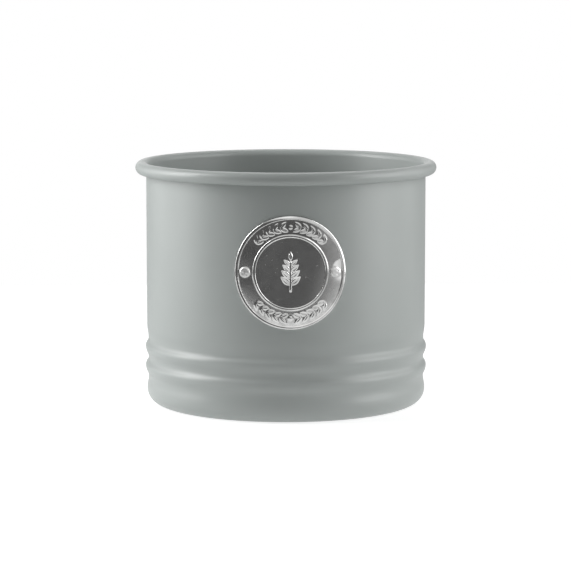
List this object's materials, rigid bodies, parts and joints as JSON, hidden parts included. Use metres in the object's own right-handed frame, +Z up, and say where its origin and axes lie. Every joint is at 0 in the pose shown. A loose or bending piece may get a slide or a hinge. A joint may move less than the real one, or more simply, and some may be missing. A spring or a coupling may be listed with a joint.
{
  "type": "herb planter",
  "caption": "Round sheet-steel planter pot with a curled rim, rolled beads near its foot and a riveted round badge on the front; a potted herb stands inside it.",
  "frame": {"origin": "centre of the pot's foot, on the plane that it stands on", "axes": "+Z up along the pot's axis, -Y towards the badge on the front, +X to the right seen from the front"},
  "size_m": [0.1454, 0.1454, 0.1175],
  "materials": {
    "coated_steel": "matt grey powder coat",
    "bright_plate": "bright stamped plate with fine handling scratches",
    "rivet_metal": "satin"
  },
  "bodies": {
    "root": {"pot_shell": "coated_steel", "badge_plate": "bright_plate", "rivet_left": "rivet_metal", "rivet_right": "rivet_metal"}
  },
  "joints": []
}
